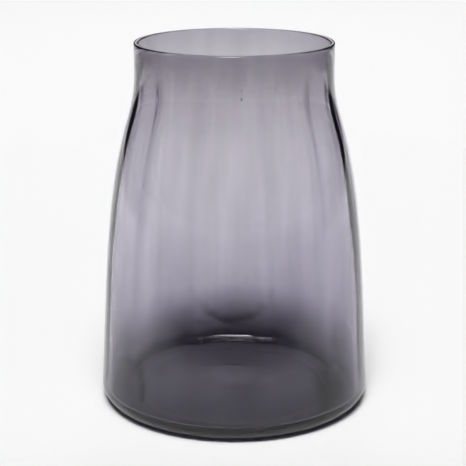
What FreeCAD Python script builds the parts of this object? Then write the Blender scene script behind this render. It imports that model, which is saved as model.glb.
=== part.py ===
import FreeCAD, Part
import math
import os

# A mouth-blown vase of smoked glass, in one piece. Millimetres, +Z up, and the origin
# is the middle of the ring that it stands on. Outlines are drawn in the XZ plane and
# turned about Z.

# Outside
HEIGHT = 250.0             # from the table to the top of the rim
BODY_RADIUS = 93.6         # where the rounded foot meets the wall
BODY_LEAN = 3.7            # inward lean of the wall above the foot, degrees
NECK_RADIUS = 67.1
NECK_LENGTH = 20.2         # straight stretch under the rim
SHOULDER_LENGTH = 39.4     # from the neck down to where the wall leans most
SHOULDER_SPREAD = 7.5      # the wall stands this much outside the neck there
SHOULDER_LEAN = 15.1       # degrees

# Glass thickness
RIM_WALL = 3.3             # rim and neck
SHOULDER_WALL = 4.4
BODY_WALL = 5.4            # above the foot
FLOOR_WALL = 8.0           # at the foot
FLOOR_RISE = 4.6           # the floor's middle stands this much above its edge

# Rounding
RIM_ROUND = 1.2            # fire-polished rim edges
FOOT_ROUND = 11.7          # outside corner of the foot
FLOOR_ROUND = 5.0          # inside corner of the floor

# Underside
FOOT_RING_WIDTH = 16.0     # flat ring that it stands on
KICK_UP_RISE = 4.2         # hollow inside the ring

# Optic flutes: shallow upright panels pressed into the inside of the wall
FLUTE_COUNT = 11
FLUTE_DEPTH = 0.9          # a panel's middle behind its edges
FLUTE_SINK = 0.1           # a panel's edges behind the plain wall
FLUTE_FOOT = 72.0          # the plain wall ends here, and the rounded panel ends begin
FLUTE_FOOT_LENGTH = 26.0
FLUTE_HEAD_GAP = 3.0       # plain glass left under the rim
FLUTE_HEAD_LENGTH = 21.0   # the panels fade out over this length
FLUTE_INSET = 0.4          # how far the cutting form stays inside the plain wall

# Shape of the side's curves: handle lengths as shares of each stretch
BODY_FULLNESS = 0.40
SHOULDER_FULLNESS = 0.30
NECK_FULLNESS = 0.41

CURVE_SAMPLES = 16         # points along each stretch of the flutes' outline

AXIS_POINT = FreeCAD.Vector(0, 0, 0)
AXIS = FreeCAD.Vector(0, 0, 1)


def point(radius, height):
    return FreeCAD.Vector(radius, 0, height)


def line(start, end):
    return Part.makeLine(start, end)


def bezier(start, start_handle, end_handle, end):
    curve = Part.BezierCurve()
    curve.setPoles([start, start + start_handle, end - end_handle, end])
    return curve


def arc(centre, radius, start, end):
    """Arc in the XZ plane between two angles in degrees, counted from +X towards +Z."""
    points = []
    for angle in (start, (start + end) / 2, end):
        turn = math.radians(angle)
        points.append(centre + point(radius * math.cos(turn), radius * math.sin(turn)))
    return Part.Arc(*points).toShape()


def turned(edges):
    """Solid made by turning a closed outline about Z."""
    return Part.Face(Part.Wire(edges)).revolve(AXIS_POINT, AXIS, 360)


def upward(lean, length):
    """Handle that runs up the wall, leaning in by so many degrees."""
    turn = math.radians(lean)
    return point(-length * math.sin(turn), length * math.cos(turn))


def corner_height(rounding):
    """Height over the floor at which a rounded corner meets the leaning wall."""
    return rounding * (1 + math.sin(math.radians(BODY_LEAN)))


def side_curves(low_height, body_wall, shoulder_wall, neck_wall):
    """The two curved stretches of the wall, set in from the outside by the given walls."""
    above_foot = low_height - corner_height(FOOT_ROUND)
    body_radius = BODY_RADIUS - above_foot * math.tan(math.radians(BODY_LEAN))
    neck_height = HEIGHT - NECK_LENGTH
    low = point(body_radius - body_wall, low_height)
    middle = point(NECK_RADIUS + SHOULDER_SPREAD - shoulder_wall, neck_height - SHOULDER_LENGTH)
    high = point(NECK_RADIUS - neck_wall, neck_height)
    body_length = (middle - low).Length
    shoulder_length = (high - middle).Length
    body = bezier(
        low,
        upward(BODY_LEAN, BODY_FULLNESS * body_length),
        upward(SHOULDER_LEAN, SHOULDER_FULLNESS * body_length),
        middle,
    )
    shoulder = bezier(
        middle,
        upward(SHOULDER_LEAN, NECK_FULLNESS * shoulder_length),
        upward(0, NECK_FULLNESS * shoulder_length),
        high,
    )
    return body, shoulder


def outer_curves():
    return side_curves(corner_height(FOOT_ROUND), 0, 0, 0)


def inner_curves():
    low_height = FLOOR_WALL + corner_height(FLOOR_ROUND)
    return side_curves(low_height, BODY_WALL, SHOULDER_WALL, RIM_WALL)


def corner(side, rounding, floor_height):
    """Rounded corner from a side curve down to a floor, and the point where it ends."""
    across = rounding * math.cos(math.radians(BODY_LEAN))
    centre = point(side.StartPoint.x - across, floor_height + rounding)
    return arc(centre, rounding, BODY_LEAN, -90), point(centre.x, floor_height)


def dome(edge_point, rise):
    """Shallow rise from a ring to the axis, level at both ends, and its middle point."""
    middle = point(0, edge_point.z + rise)
    handle = point(-edge_point.x / 3, 0)
    return bezier(edge_point, handle, handle, middle).toShape(), middle


def blank():
    """The vase as if it were solid glass, up to the top of the rim."""
    body, shoulder = outer_curves()
    foot, ring_edge = corner(body, FOOT_ROUND, 0)
    kick_edge = ring_edge - point(FOOT_RING_WIDTH, 0)
    kick_up, kick_top = dome(kick_edge, KICK_UP_RISE)
    rim_centre = point(NECK_RADIUS - RIM_ROUND, HEIGHT - RIM_ROUND)
    return turned([
        line(kick_top, point(0, HEIGHT)),
        line(point(0, HEIGHT), rim_centre + point(0, RIM_ROUND)),
        arc(rim_centre, RIM_ROUND, 90, 0),
        line(rim_centre + point(RIM_ROUND, 0), shoulder.EndPoint),
        shoulder.toShape(),
        body.toShape(),
        foot,
        line(ring_edge, kick_edge),
        kick_up,
    ])


def cavity():
    """The plain inside, from the domed floor out through the rounded mouth."""
    body, shoulder = inner_curves()
    floor_corner, floor_edge = corner(body, FLOOR_ROUND, FLOOR_WALL)
    floor, floor_middle = dome(floor_edge, FLOOR_RISE)
    mouth_centre = point(NECK_RADIUS - RIM_WALL + RIM_ROUND, HEIGHT - RIM_ROUND)
    return turned([
        line(floor_middle, point(0, HEIGHT)),
        line(point(0, HEIGHT), mouth_centre + point(0, RIM_ROUND)),
        arc(mouth_centre, RIM_ROUND, 90, 180),
        line(mouth_centre - point(RIM_ROUND, 0), shoulder.EndPoint),
        shoulder.toShape(),
        body.toShape(),
        floor_corner,
        floor,
    ])


def ramp(share):
    """Smooth change from 0 to 1 as the share goes from 0 to 1."""
    held = min(max(share, 0), 1)
    return held * held * (3 - 2 * held)


def flute_reach(height):
    """How far a panel's middle lies behind the plain wall, less than 0 where it has ended."""
    foot = ramp((height - FLUTE_FOOT) / FLUTE_FOOT_LENGTH)
    head = ramp((HEIGHT - FLUTE_HEAD_GAP - height) / FLUTE_HEAD_LENGTH)
    return (FLUTE_DEPTH + FLUTE_SINK + FLUTE_INSET) * foot * head - FLUTE_INSET


def flute_set_off():
    """Set-off of a panel's axis that gives the full depth, edge to middle, in the neck."""
    neck = NECK_RADIUS - RIM_WALL
    bow = 1 - math.cos(math.pi / FLUTE_COUNT)
    return FLUTE_DEPTH * neck / (neck * bow + FLUTE_DEPTH)


def flute_form():
    """Form that presses one panel: the inside turned about an axis set off towards +X."""
    set_off = point(flute_set_off(), 0)
    points = []
    for curve in inner_curves():
        for step in range(CURVE_SAMPLES):
            wall_point = curve.value(step / CURVE_SAMPLES)
            points.append(wall_point + point(flute_reach(wall_point.z), 0) - set_off)
    rim_radius = NECK_RADIUS - RIM_WALL - FLUTE_INSET
    points.append(point(rim_radius, HEIGHT - RIM_ROUND) - set_off)
    wall = Part.BSplineCurve()
    wall.interpolate(points)
    form = turned([
        wall.toShape(),
        line(points[-1], point(0, points[-1].z)),
        line(point(0, points[-1].z), point(0, points[0].z)),
        line(point(0, points[0].z), points[0]),
    ])
    form.rotate(AXIS_POINT, AXIS, 180)
    form.translate(set_off)
    return form


def vase_body():
    """The blank hollowed out, with the middle of one flute towards -Y."""
    body = blank().cut(cavity())
    for index in range(FLUTE_COUNT):
        form = flute_form()
        form.rotate(AXIS_POINT, AXIS, 360 * index / FLUTE_COUNT - 90)
        body = body.cut(form)
    return body.Solids[0]


os.makedirs("parts", exist_ok=True)
vase_body().exportStep("parts/vase_body.step")
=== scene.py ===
import math

import bpy
from mathutils import Matrix, Vector, noise


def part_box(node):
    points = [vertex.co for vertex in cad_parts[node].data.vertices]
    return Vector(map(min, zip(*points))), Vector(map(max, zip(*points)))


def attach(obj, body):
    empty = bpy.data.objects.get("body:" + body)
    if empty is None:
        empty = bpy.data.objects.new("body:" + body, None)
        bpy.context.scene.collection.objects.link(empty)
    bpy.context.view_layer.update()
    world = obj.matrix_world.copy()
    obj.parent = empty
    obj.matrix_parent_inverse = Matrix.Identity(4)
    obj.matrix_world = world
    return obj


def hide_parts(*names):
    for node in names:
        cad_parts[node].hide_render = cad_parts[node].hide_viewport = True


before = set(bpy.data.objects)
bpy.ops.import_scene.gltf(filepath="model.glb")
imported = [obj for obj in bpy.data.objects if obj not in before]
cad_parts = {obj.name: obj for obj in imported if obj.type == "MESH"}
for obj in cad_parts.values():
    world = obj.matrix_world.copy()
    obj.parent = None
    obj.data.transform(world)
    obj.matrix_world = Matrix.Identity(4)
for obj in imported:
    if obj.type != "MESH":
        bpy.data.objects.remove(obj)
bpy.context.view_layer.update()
VASE_LOW, VASE_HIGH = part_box("vase_body")

# The skin stays this far inside the frame's box, so that no rounding carries it out.
SKIN_MARGIN = 0.0001
VASE_HEIGHT = VASE_HIGH.z - SKIN_MARGIN
VASE_RADIUS = min(VASE_HIGH.x, VASE_HIGH.y, -VASE_LOW.x, -VASE_LOW.y) - SKIN_MARGIN

bl_info = {
    "name": "Smoked Glass Vase",
    "version": (1, 0, 0),
    "blender": (4, 5, 0),
    "location": "3D View > Sidebar > Vase",
    "description": "A mouth-blown vase of smoked glass with optic flutes, in a plain studio",
    "category": "Add Mesh",
}


def length(label, text, default):
    return bpy.props.FloatProperty(name=label, description=text, default=default, unit="LENGTH")


def angle(label, text, degrees):
    return bpy.props.FloatProperty(
        name=label, description=text, default=math.radians(degrees), subtype="ANGLE")


def number(label, text, default):
    return bpy.props.FloatProperty(name=label, description=text, default=default)


def count(label, text, default):
    return bpy.props.IntProperty(name=label, description=text, default=default, min=1)


def colour(label, text, default):
    """A colour typed as an sRGB hex value, such as #8A8894."""
    return bpy.props.StringProperty(name=label, description=text, default=default)


class VaseOutline(bpy.types.PropertyGroup):
    height: length("Height", "From the table to the top of the rim", VASE_HEIGHT)
    body_radius: length("Body Radius", "Widest radius, just above the foot", VASE_RADIUS)
    body_lean: angle("Body Lean", "Inward lean of the wall above the foot", 3.7)
    neck_radius: length("Neck Radius", "Outside radius of the neck", 0.0671)
    neck_length: length("Neck Length", "Straight stretch under the rim", 0.0202)
    shoulder_length: length("Shoulder Length", "Neck to where the wall leans most", 0.0394)
    shoulder_spread: length("Shoulder Spread", "Shoulder outside the neck", 0.0075)
    shoulder_lean: angle("Shoulder Lean", "Most that the wall leans", 15.1)
    foot_round: length("Foot Rounding", "Radius of the foot's outside corner", 0.0117)
    foot_ring: length("Foot Ring", "Width of the ring that it stands on", 0.016)
    kick_up: length("Kick-up", "Hollow under the floor", 0.0042)
    rim_round: length("Rim Rounding", "Radius of the fire-polished rim edges", 0.0012)


class VaseInside(bpy.types.PropertyGroup):
    rim_wall: length("Rim Wall", "Glass thickness at the rim and neck", 0.0033)
    shoulder_wall: length("Shoulder Wall", "Glass thickness at the shoulder", 0.0044)
    body_wall: length("Body Wall", "Glass thickness above the foot", 0.0054)
    floor_wall: length("Floor", "Height of the inside floor at its edge", 0.008)
    floor_rise: length("Floor Rise", "Middle of the floor above its edge", 0.0046)
    floor_round: length("Floor Rounding", "Radius of the inside corner", 0.005)
    drift: length("Wall Drift", "How far the body's hollow sits off the axis", 0.0009)
    ripple: length("Ripple", "Height of the slow waves left by blowing", 0.00012)


class VaseFlutes(bpy.types.PropertyGroup):
    count: count("Flutes", "Number of upright panels", 11)
    depth: length("Depth", "A panel's middle behind the plain wall, in the body", 0.0007)
    neck_depth: length("Neck Depth", "The same in the neck, where it is stretched least", 0.0013)
    ridge: length("Ridge", "The ridges between panels before the plain wall", 0.0006)
    softness: number("Softness", "How rounded the ridges are", 0.16)
    fullness: number("Fullness", "Below 1, the panels are flatter and their edges steeper", 0.7)
    foot_length: length("Foot Length", "Height of the step at a panel's foot", 0.0018)
    foot_step: length("Foot Step", "Depth of the step at their foot", 0.00035)
    rise_length: length("Rise Length", "Height over which the rest comes in", 0.035)
    side_fade: length("Side Fade", "How much more softly they end at the sides", 0.03)
    head_gap: length("Head Gap", "Plain glass left under the rim", 0.002)
    head_length: length("Head Length", "Height over which the panels fade out", 0.030)
    turn: angle("Turn", "Turn of the front panel's middle about the axis", -1.5)


class VaseGlass(bpy.types.PropertyGroup):
    absorbed: colour("Deep Colour", "Tint of the light that thick glass lets through", "#BCB3CB")
    density: number("Density", "Strength of the tint in the thickness, per metre", 102.0)
    ior: number("IOR", "Refractive index", 1.5)
    roughness: number("Roughness", "Fire-polished skin", 0.0)
    cords: number("Cords", "How much darker the upright streaks in the glass are", 0.12)


class VaseStudio(bpy.types.PropertyGroup):
    floor_size: length("Floor Size", "Side of the floor", 30.0)
    floor_colour: colour("Floor Colour", "Matt paper", "#F7F7F7")
    room_colour: colour("Room Colour", "Faintly violet walls", "#F0EBFF")
    room_light: number("Room Light", "Even light from all round", 0.045)
    box_power: number("Box Power", "Each gridded soft box, watts", 5.57)
    box_distance: length("Box Distance", "From the middle of the floor that they light", 1.7)
    grid: angle("Grid", "Angle that the grids let through", 17.0)
    pool_width: length("Pool Width", "Width of the floor that they light", 2.6)
    pool_length: length("Pool Length", "From front to back", 4.4)
    pool_front: length("Pool Front", "Front edge of the lit floor before the axis", 0.22)
    panel_power: number("Panel Power", "Glowing panel behind the vase, watts", 1.6)
    panel_spread: angle("Panel Spread", "Angle that it glows into", 60.0)
    panel_size: length("Panel Size", "Its width and height", 1.6)
    panel_distance: length("Panel Distance", "Behind the axis", 3.4)
    panel_height: length("Panel Height", "Its middle above the table", 1.5)
    camera_distance: length("Camera Distance", "In front of the vase's axis", 0.9128)
    camera_height: length("Camera Height", "Above the table", 0.3802)
    camera_tilt: angle("Camera Tilt", "Downward", 16.09)
    camera_lens: number("Lens", "Focal length, mm", 106.0)
    camera_shift: number("Camera Shift", "Sideways, as a share of the picture", -0.0028)


# ---------------------------------------------------------------- modelling tools


def deselect():
    if bpy.context.object and bpy.context.object.mode != "OBJECT":
        bpy.ops.object.mode_set(mode="OBJECT")
    bpy.ops.object.select_all(action="DESELECT")


def at(radius, height):
    """Point of a half outline, which is drawn in the XZ plane."""
    return Vector((radius, 0.0, height))


def upward(lean, reach):
    """Step up along a wall that leans inward by an angle."""
    return at(-reach * math.sin(lean), reach * math.cos(lean))


def straight(start, end, steps):
    """Straight stretch of a half outline."""
    third = (end - start) / 3
    return start, start + third, end - third, end, steps


def quarter(centre, radius, start, end, steps):
    """Arc of a half outline between two angles, counted from +X towards +Z."""
    reach = 4 / 3 * math.tan((end - start) / 4) * radius
    points = []
    for turn in (start, end):
        out = at(math.cos(turn), math.sin(turn)) * radius
        along = at(-math.sin(turn), math.cos(turn)) * reach
        points.append((centre + out, along))
    (first, first_along), (last, last_along) = points
    return first, first + first_along, last - last_along, last, steps


def spun(name, stretches, steps):
    """Skin made by spinning a half outline about Z.

    Each stretch of the outline is the four points of a curve and its number of steps.
    """
    deselect()
    bpy.ops.curve.primitive_bezier_curve_add(location=(0, 0, 0))
    piece = bpy.context.object
    piece.name = name
    splines = piece.data.splines
    splines.clear()
    for start, start_handle, end_handle, end, resolution in stretches:
        spline = splines.new("BEZIER")
        spline.bezier_points.add(1)
        spline.resolution_u = resolution
        first, last = spline.bezier_points
        for knot in (first, last):
            knot.handle_left_type = "FREE"
            knot.handle_right_type = "FREE"
        first.co = start
        first.handle_left = start
        first.handle_right = start_handle
        last.handle_left = end_handle
        last.co = end
        last.handle_right = end
    bpy.ops.object.convert(target="MESH")
    bpy.ops.object.mode_set(mode="EDIT")
    bpy.ops.mesh.select_all(action="SELECT")
    bpy.ops.mesh.remove_doubles(threshold=WELD)
    bpy.ops.mesh.spin(steps=steps, angle=math.tau, center=(0, 0, 0), axis=(0, 0, 1))
    bpy.ops.mesh.select_all(action="SELECT")
    bpy.ops.mesh.remove_doubles(threshold=WELD)
    bpy.ops.object.mode_set(mode="OBJECT")
    return piece


def joined(pieces, name):
    """One object made of several."""
    deselect()
    for piece in pieces:
        piece.select_set(True)
    bpy.context.view_layer.objects.active = pieces[0]
    bpy.ops.object.join()
    whole = bpy.context.object
    whole.name = name
    whole.data.name = name
    return whole


def ramp(share):
    """Smooth change from 0 to 1 as the share goes from 0 to 1."""
    held = min(max(share, 0.0), 1.0)
    return held * held * (3 - 2 * held)


def linear(hex_colour):
    """An sRGB hex value as linear RGBA."""
    channels = []
    for start in (1, 3, 5):
        value = int(hex_colour[start:start + 2], 16) / 255
        value = value / 12.92 if value <= 0.04045 else ((value + 0.055) / 1.055) ** 2.4
        channels.append(value)
    return (*channels, 1.0)


def add_node(tree, kind, place, settings=None, inputs=None, links=None):
    """Adds a node, sets its properties and sockets, and links its inputs from other outputs."""
    node = tree.nodes.new(kind)
    node.location = place
    for key, value in (settings or {}).items():
        setattr(node, key, value)
    for key, value in (inputs or {}).items():
        node.inputs[key].default_value = value
    for key, output in (links or {}).items():
        tree.links.new(output, node.inputs[key])
    return node


# ---------------------------------------------------------------- the vase's shape

WELD = 1e-6                # doubles nearer than this are merged
AROUND = 264               # faces round the vase, a multiple of the flutes
BODY_FULLNESS = 0.40       # handle lengths of the side's curves, as shares of each stretch
SHOULDER_FULLNESS = 0.30
NECK_FULLNESS = 0.41


def side(outline, low_height, walls, steps):
    """Wall from the foot to the neck, set in by the body's, shoulder's and neck's glass."""
    body_wall, shoulder_wall, neck_wall = walls
    foot_top = outline.foot_round * (1 + math.sin(outline.body_lean))
    radius = outline.body_radius - (low_height - foot_top) * math.tan(outline.body_lean)
    neck_height = outline.height - outline.neck_length
    shoulder_radius = outline.neck_radius + outline.shoulder_spread
    low = at(radius - body_wall, low_height)
    middle = at(shoulder_radius - shoulder_wall, neck_height - outline.shoulder_length)
    high = at(outline.neck_radius - neck_wall, neck_height)
    body_reach = (middle - low).length
    neck_reach = (high - middle).length * NECK_FULLNESS
    body = (
        low,
        low + upward(outline.body_lean, body_reach * BODY_FULLNESS),
        middle - upward(outline.shoulder_lean, body_reach * SHOULDER_FULLNESS),
        middle,
        steps[0],
    )
    shoulder = (
        middle,
        middle + upward(outline.shoulder_lean, neck_reach),
        high - upward(0, neck_reach),
        high,
        steps[1],
    )
    return body, shoulder


def outside_outline(outline):
    """From the middle of the underside round the foot and up to the middle of the rim."""
    foot_top = outline.foot_round * (1 + math.sin(outline.body_lean))
    body, shoulder = side(outline, foot_top, (0, 0, 0), (36, 16))
    across = outline.foot_round * math.cos(outline.body_lean)
    ring_edge = at(body[0].x - across, 0)
    kick_edge = ring_edge - at(outline.foot_ring, 0)
    kick_top = at(0, outline.kick_up)
    third = at(kick_edge.x / 3, 0)
    rim_centre = at(outline.neck_radius - outline.rim_round, outline.height - outline.rim_round)
    return [
        (kick_top, kick_top + third, kick_edge - third, kick_edge, 10),
        straight(kick_edge, ring_edge, 1),
        quarter(ring_edge + at(0, outline.foot_round), outline.foot_round,
                -math.pi / 2, outline.body_lean, 10),
        body,
        shoulder,
        straight(shoulder[3], rim_centre + at(outline.rim_round, 0), 4),
        quarter(rim_centre, outline.rim_round, 0, math.pi / 2, 6),
    ]


def inside_outline(outline, inside):
    """From the middle of the floor round its corner and up to the middle of the rim."""
    walls = (inside.body_wall, inside.shoulder_wall, inside.rim_wall)
    corner_top = inside.floor_wall + inside.floor_round * (1 + math.sin(outline.body_lean))
    body, shoulder = side(outline, corner_top, walls, (130, 18))
    across = inside.floor_round * math.cos(outline.body_lean)
    floor_edge = at(body[0].x - across, inside.floor_wall)
    floor_middle = at(0, inside.floor_wall + inside.floor_rise)
    third = at(floor_edge.x / 3, 0)
    rim_radius = outline.neck_radius - inside.rim_wall + outline.rim_round
    rim_centre = at(rim_radius, outline.height - outline.rim_round)
    rim_top = rim_centre + at(0, outline.rim_round)
    outer_top = at(outline.neck_radius - outline.rim_round, outline.height)
    return [
        (floor_middle, floor_middle + third, floor_edge - third, floor_edge, 48),
        quarter(floor_edge + at(0, inside.floor_round), inside.floor_round,
                -math.pi / 2, outline.body_lean, 10),
        body,
        shoulder,
        straight(shoulder[3], rim_centre - at(outline.rim_round, 0), 8),
        quarter(rim_centre, outline.rim_round, math.pi, math.pi / 2, 6),
        straight(rim_top, outer_top, 1),
    ]


NECK_BLEND_START = 0.62    # share of the height where the body's flutes start to deepen
NECK_BLEND = 0.3           # share of the height over which they reach the neck's depth

# Where the flutes end above the plain foot of the wall: degrees round from the front, to the
# right, and metres above the table. The end of the blowing leaves them uneven.
FLUTE_FOOT_LINE = (
    (-180, 0.078), (-165, 0.067), (-140, 0.072), (-115, 0.095), (-90, 0.108), (-55, 0.113),
    (-29, 0.115), (-23, 0.110), (-18, 0.101), (-15.5, 0.0925), (-10, 0.0855), (-1, 0.0822),
    (8, 0.0845), (13.5, 0.0905), (15.5, 0.098), (22, 0.110), (29, 0.115), (55, 0.115),
    (90, 0.108), (115, 0.098), (140, 0.092), (170, 0.089), (180, 0.078),
)


def foot_height(turn):
    """Height at which the flutes end, at a turn from +X in radians."""
    degrees = (math.degrees(turn) + 90 + 180) % 360 - 180
    for (start, low), (end, high) in zip(FLUTE_FOOT_LINE, FLUTE_FOOT_LINE[1:]):
        if degrees <= end:
            return low + (high - low) * ramp((degrees - start) / (end - start))
    return FLUTE_FOOT_LINE[-1][1]


def flute_push(flutes, height, turn, z):
    """How far the inside stands back from the plain wall at this turn and height."""
    pitch = math.tau / flutes.count
    places = (turn + math.pi / 2 - flutes.turn) / pitch
    across = math.cos((places - round(places)) * math.pi)
    soft = flutes.softness
    crown = (math.sqrt(across * across + soft * soft) - soft) / (math.sqrt(1 + soft * soft) - soft)
    hollow = crown ** flutes.fullness
    sideways = math.cos(turn) ** 2
    above = max(z - foot_height(turn), 0.0)
    step = 1 - math.exp(-above / (flutes.foot_length + flutes.side_fade * sideways))
    head = ramp((height - flutes.head_gap - z) / flutes.head_length)
    in_neck = ramp((z / height - NECK_BLEND_START) / NECK_BLEND)
    depth = flutes.depth + (flutes.neck_depth - flutes.depth) * in_neck
    pressed = flutes.foot_step * step + depth * hollow * ramp(above / flutes.rise_length)
    return (pressed - flutes.ridge * (1 - hollow)) * head


WALL_START = 0.05          # radius inside which all the glass is floor
FADE = 0.012               # reach over which the wall's unevenness starts and stops
CORNER_START = 0.002       # the flutes start this far under the floor's edge
CORNER_FADE = 0.008        # and are whole this much higher
RIPPLES_PER_METRE = 38.0
RIPPLE_STRETCH = 0.6       # below 1, the ripples are drawn out upright
DRIFT_TOP = 0.2            # the hollow is on the axis above this height
DRIFT_FADE = 0.16          # and has all its drift this much lower


def shape_inside(skin, outline, inside, flutes):
    """Presses the flutes and adds the unevenness of hand-blown glass."""
    top = outline.height
    for vertex in skin.data.vertices:
        x, y, z = vertex.co
        radius = math.hypot(x, y)
        turn = math.atan2(y, x)
        in_wall = ramp((radius - WALL_START) / FADE)
        uneven = in_wall * ramp((top - z) / FADE)
        push = flute_push(flutes, top, turn, z) * in_wall
        push *= ramp((z - inside.floor_wall + CORNER_START) / CORNER_FADE)
        place = Vector((x, y, z * RIPPLE_STRETCH)) * RIPPLES_PER_METRE
        wave = noise.noise(place) * inside.ripple * uneven
        if radius > WELD:
            out = Vector((x, y, 0)) / radius
            vertex.co += out * (push + wave)
        vertex.co.x -= inside.drift * ramp((DRIFT_TOP - z) / DRIFT_FADE) * uneven


# The mark that the blowing iron leaves: a faint ring, a dimple and a twist.
MARK_REACH = 0.04          # radius that it lies within
MARK_TOP = 0.01            # height above the floor's edge that it lies under
RING_RADIUS = 0.018
RING_WIDTH = 0.0022
RING_HEIGHT = 0.00016
DIMPLE_WIDTH = 0.0035
DIMPLE_DEPTH = 0.0003
TWIST_WIDTH = 0.008
TWIST_HEIGHT = 0.00014
TWIST_TURN = 400           # radians that its two arms turn per metre outward


def bump(distance, width):
    """Soft bump, 1 high."""
    return math.exp(-(distance / width) ** 2)


def shape_floor(skin, inside):
    """Raises the blowing iron's mark in the middle of the inside floor."""
    for vertex in skin.data.vertices:
        x, y, z = vertex.co
        radius = math.hypot(x, y)
        if radius > MARK_REACH or z > inside.floor_wall + MARK_TOP:
            continue
        ring = RING_HEIGHT * bump(radius - RING_RADIUS, RING_WIDTH)
        dimple = -DIMPLE_DEPTH * bump(radius, DIMPLE_WIDTH)
        arms = math.sin(2 * math.atan2(y, x) + radius * TWIST_TURN)
        twist = TWIST_HEIGHT * bump(radius, TWIST_WIDTH) * arms
        vertex.co.z += ring + dimple + twist


# Seed bubbles: distance round the neck from the front, height and radius, in metres.
SEEDS = ((0.0045, 0.228, 0.0005), (0.0045, 0.2225, 0.00055), (0.026, 0.229, 0.0004))
SEED_STRETCH = (0.8, 0.8, 1.8)


def seed_bubbles(outline, inside):
    """Small drawn-out pockets of air in the middle of the neck's wall."""
    middle = outline.neck_radius - inside.rim_wall / 2
    seeds = []
    for side_step, height, size in SEEDS:
        turn = -math.pi / 2 + side_step / middle
        deselect()
        bpy.ops.mesh.primitive_ico_sphere_add(
            subdivisions=3, radius=size,
            location=(middle * math.cos(turn), middle * math.sin(turn), height))
        bpy.ops.object.mode_set(mode="EDIT")
        bpy.ops.mesh.select_all(action="SELECT")
        bpy.ops.transform.resize(value=SEED_STRETCH)
        bpy.ops.mesh.flip_normals()
        bpy.ops.object.mode_set(mode="OBJECT")
        bpy.ops.object.transform_apply(location=True, rotation=True, scale=True)
        seeds.append(bpy.context.object)
    return seeds


# ---------------------------------------------------------------- materials

# Tint of one wall's two faces together, by share of the vase's height. The darker stops near
# the foot are partly the glass's own colour and partly painted shade for the shadow seen
# through the lower wall.
TINT_AND_SHADE_STOPS = (
    (0.00, "#8A8890"),
    (0.05, "#8E8C95"),
    (0.09, "#A5A3AC"),
    (0.14, "#C8C6CE"),
    (0.20, "#E9E8EC"),
    (0.28, "#F6F5F7"),
    (0.40, "#FCFCFD"),
    (0.60, "#FFFFFF"),
    (0.78, "#F5F4F5"),
    (0.86, "#E4E2E5"),
    (0.92, "#D9D7DA"),
    (0.99, "#C8C6CB"),
)
CORDS_PER_METRE = 60.0     # pattern scale of the streaks round the wall
CORDS_UP_PER_METRE = 2.0   # and along it, where blowing has drawn them out


def smoked_soda_lime_glass(glass, height):
    """Mouth-blown soda-lime glass, smoked grey-violet in the batch and fire polished.

    The skin is mirror smooth, so it gives clear reflections and a dark line at each edge. The
    tint deepens with the thickness that is looked through, and there is more colour at the
    neck than in the body. Towards the foot it is darker still, partly the glass's own colour
    and partly painted shade for the shadow seen through the lower wall. Faint upright streaks
    run up the wall.
    """
    material = bpy.data.materials.new("smoked_soda_lime_glass")
    material.use_nodes = True
    tree = material.node_tree
    tree.nodes.clear()
    place = add_node(tree, "ShaderNodeTexCoord", (-900, 0))
    split = add_node(tree, "ShaderNodeSeparateXYZ", (-720, 0), links={0: place.outputs["Object"]})
    share = add_node(tree, "ShaderNodeMapRange", (-540, 0), inputs={2: height},
                     links={0: split.outputs["Z"]})
    # This ramp's stops near the foot hold painted shade as well as the glass's own colour.
    tint = add_node(tree, "ShaderNodeValToRGB", (-360, 0), links={0: share.outputs[0]})
    stops = tint.color_ramp.elements
    while len(stops) > 1:
        stops.remove(stops[-1])
    stops[0].position = TINT_AND_SHADE_STOPS[0][0]
    stops[0].color = linear(TINT_AND_SHADE_STOPS[0][1])
    for position, hex_colour in TINT_AND_SHADE_STOPS[1:]:
        stops.new(position).color = linear(hex_colour)
    stretch = add_node(tree, "ShaderNodeMapping", (-720, -260),
                       inputs={"Scale": (CORDS_PER_METRE, CORDS_PER_METRE, CORDS_UP_PER_METRE)},
                       links={"Vector": place.outputs["Object"]})
    cords = add_node(tree, "ShaderNodeTexNoise", (-540, -260),
                     inputs={"Scale": 1.0, "Detail": 2.0, "Roughness": 0.6},
                     links={"Vector": stretch.outputs[0]})
    shade = add_node(tree, "ShaderNodeMapRange", (-360, -260),
                     inputs={1: 0.3, 2: 0.7, 3: 1 - glass.cords, 4: 1.0},
                     links={0: cords.outputs["Fac"]})
    streaked = add_node(tree, "ShaderNodeMix", (-180, 0),
                        settings={"data_type": "RGBA", "blend_type": "MULTIPLY"},
                        inputs={0: 1.0},
                        links={6: tint.outputs["Color"], 7: shade.outputs[0]})
    skin = add_node(
        tree, "ShaderNodeBsdfPrincipled", (0, 0),
        inputs={"Roughness": glass.roughness, "IOR": glass.ior, "Transmission Weight": 1.0},
        links={"Base Color": streaked.outputs[2]})
    depth = add_node(
        tree, "ShaderNodeVolumeAbsorption", (0, -400),
        inputs={"Color": linear(glass.absorbed), "Density": glass.density})
    add_node(tree, "ShaderNodeOutputMaterial", (300, 0),
             links={"Surface": skin.outputs[0], "Volume": depth.outputs[0]})
    return material


def matt_paper(hex_colour):
    """Seamless background paper: even, pale and without gloss."""
    material = bpy.data.materials.new("matt_paper")
    material.use_nodes = True
    tree = material.node_tree
    tree.nodes.clear()
    face = add_node(tree, "ShaderNodeBsdfDiffuse", (0, 0), inputs={"Color": linear(hex_colour)})
    add_node(tree, "ShaderNodeOutputMaterial", (300, 0), links={"Surface": face.outputs[0]})
    return material


# ---------------------------------------------------------------- operators


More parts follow.
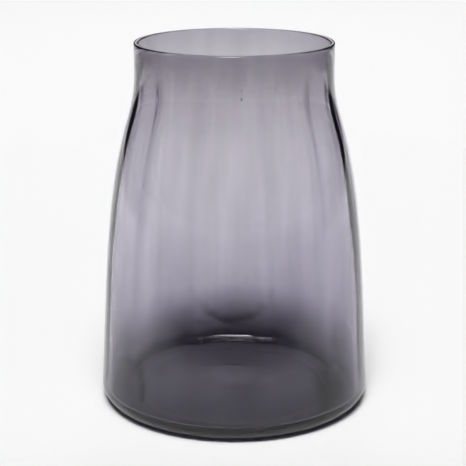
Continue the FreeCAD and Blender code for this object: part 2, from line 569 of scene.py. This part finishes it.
class VASE_OT_glass(bpy.types.Operator):
    """Blow the vase: an outside skin, a fluted inside skin and a few seed bubbles"""
    bl_idname = "vase.glass"
    bl_label = "Add Vase Glass"

    def execute(self, context):
        scene = context.scene
        outline, inside, flutes = scene.vase_outline, scene.vase_inside, scene.vase_flutes
        outer = spun("outside", outside_outline(outline), AROUND)
        inner = spun("inside", inside_outline(outline, inside), AROUND)
        shape_inside(inner, outline, inside, flutes)
        shape_floor(inner, inside)
        vase = joined([outer, inner], "vase_glass")
        bpy.ops.object.mode_set(mode="EDIT")
        bpy.ops.mesh.select_all(action="SELECT")
        bpy.ops.mesh.remove_doubles(threshold=WELD)
        bpy.ops.mesh.normals_make_consistent(inside=False)
        bpy.ops.object.mode_set(mode="OBJECT")
        vase = joined([vase, *seed_bubbles(outline, inside)], "vase_glass")
        bpy.ops.object.shade_smooth()
        vase.data.materials.clear()
        vase.data.materials.append(smoked_soda_lime_glass(scene.vase_glass, outline.height))
        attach(vase, "root")
        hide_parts("vase_body")
        return {"FINISHED"}


# Soft boxes: name, degrees round from the front to the left, and degrees above the table.
SOFT_BOXES = (
    ("soft_box_1", -20, 66),
    ("soft_box_2", -7, 62),
    ("soft_box_3", 7, 57),
    ("soft_box_4", 16, 62),
    ("soft_box_5", 22, 66),
    ("soft_box_high", 8, 76),
)


class VASE_OT_stage(bpy.types.Operator):
    """Set up the paper floor, the soft lights and the camera"""
    bl_idname = "vase.stage"
    bl_label = "Add Studio"

    def execute(self, context):
        scene = context.scene
        studio = scene.vase_studio
        scene.view_settings.view_transform = "Standard"
        deselect()
        bpy.ops.mesh.primitive_plane_add(size=studio.floor_size, location=(0, 0, 0))
        floor = context.object
        floor.name = "studio_floor"
        floor.data.materials.append(matt_paper(studio.floor_colour))
        world = bpy.data.worlds.new("studio_room")
        world.use_nodes = True
        room = world.node_tree.nodes["Background"]
        room.inputs["Color"].default_value = linear(studio.room_colour)
        room.inputs["Strength"].default_value = studio.room_light
        scene.world = world
        for name, side_degrees, height_degrees in SOFT_BOXES:
            soft_box(name, math.radians(side_degrees), math.radians(height_degrees), studio)
        back_panel(studio)
        camera_data = bpy.data.cameras.new("camera")
        camera = bpy.data.objects.new("camera", camera_data)
        scene.collection.objects.link(camera)
        camera_data.lens = studio.camera_lens
        camera_data.shift_x = studio.camera_shift
        camera.location = (0, -studio.camera_distance, studio.camera_height)
        camera.rotation_euler = (math.pi / 2 - studio.camera_tilt, 0, 0)
        scene.camera = camera
        return {"FINISHED"}


def soft_box(name, side_turn, height_turn, studio):
    """Soft box whose grid keeps its light on one straight-sided stretch of the floor.

    The rays run nearly side by side, so all the boxes light the same stretch evenly. Their
    light doesn't go through the glass, so the shadow behind the vase is deep and smooth.
    """
    level = math.cos(height_turn)
    back = Vector((-math.sin(side_turn) * level, -math.cos(side_turn) * level,
                   math.sin(height_turn)))
    along = Vector((0, 1, 0)) - back * back.y
    stretch = along.length
    along.normalize()
    aim = Vector((0, studio.pool_length / 2 - studio.pool_front, 0))
    deselect()
    bpy.ops.object.light_add(type="AREA", location=aim + back * studio.box_distance)
    light = bpy.context.object
    light.name = name
    light.data.shape = "RECTANGLE"
    light.data.size = studio.pool_width * back.z / stretch
    light.data.size_y = studio.pool_length * stretch
    light.data.spread = studio.grid
    light.data.energy = studio.box_power
    light.rotation_euler = Matrix((along.cross(back), along, back)).transposed().to_euler()
    light.visible_camera = False
    light.visible_transmission = False


def back_panel(studio):
    """Glowing panel behind the vase, above what the camera sees, mirrored by its inside floor."""
    place = Vector((0, studio.panel_distance, studio.panel_height))
    deselect()
    bpy.ops.object.light_add(type="AREA", location=place)
    light = bpy.context.object
    light.name = "back_panel"
    light.data.shape = "SQUARE"
    light.data.size = studio.panel_size
    light.data.spread = studio.panel_spread
    light.data.energy = studio.panel_power
    light.rotation_euler = (-place).to_track_quat("-Z", "Y").to_euler()
    light.visible_camera = False


class VASE_PT_panel(bpy.types.Panel):
    bl_label = "Vase"
    bl_idname = "VASE_PT_panel"
    bl_space_type = "VIEW_3D"
    bl_region_type = "UI"
    bl_category = "Vase"

    def draw(self, context):
        layout = self.layout
        for owner in ("vase_outline", "vase_inside", "vase_flutes", "vase_glass", "vase_studio"):
            group = getattr(context.scene, owner)
            box = layout.box()
            box.label(text=owner.replace("_", " ").title())
            for key in group.bl_rna.properties.keys():
                if key not in ("rna_type", "name"):
                    box.prop(group, key)
        layout.operator("vase.glass")
        layout.operator("vase.stage")


GROUPS = {
    "vase_outline": VaseOutline,
    "vase_inside": VaseInside,
    "vase_flutes": VaseFlutes,
    "vase_glass": VaseGlass,
    "vase_studio": VaseStudio,
}
CLASSES = (*GROUPS.values(), VASE_OT_glass, VASE_OT_stage, VASE_PT_panel)


def register():
    for each in CLASSES:
        bpy.utils.register_class(each)
    for name, group in GROUPS.items():
        setattr(bpy.types.Scene, name, bpy.props.PointerProperty(type=group))


def unregister():
    for name in GROUPS:
        delattr(bpy.types.Scene, name)
    for each in reversed(CLASSES):
        bpy.utils.unregister_class(each)


def main():
    register()
    bpy.ops.vase.glass()
    bpy.ops.vase.stage()


if __name__ == "__main__":
    main()
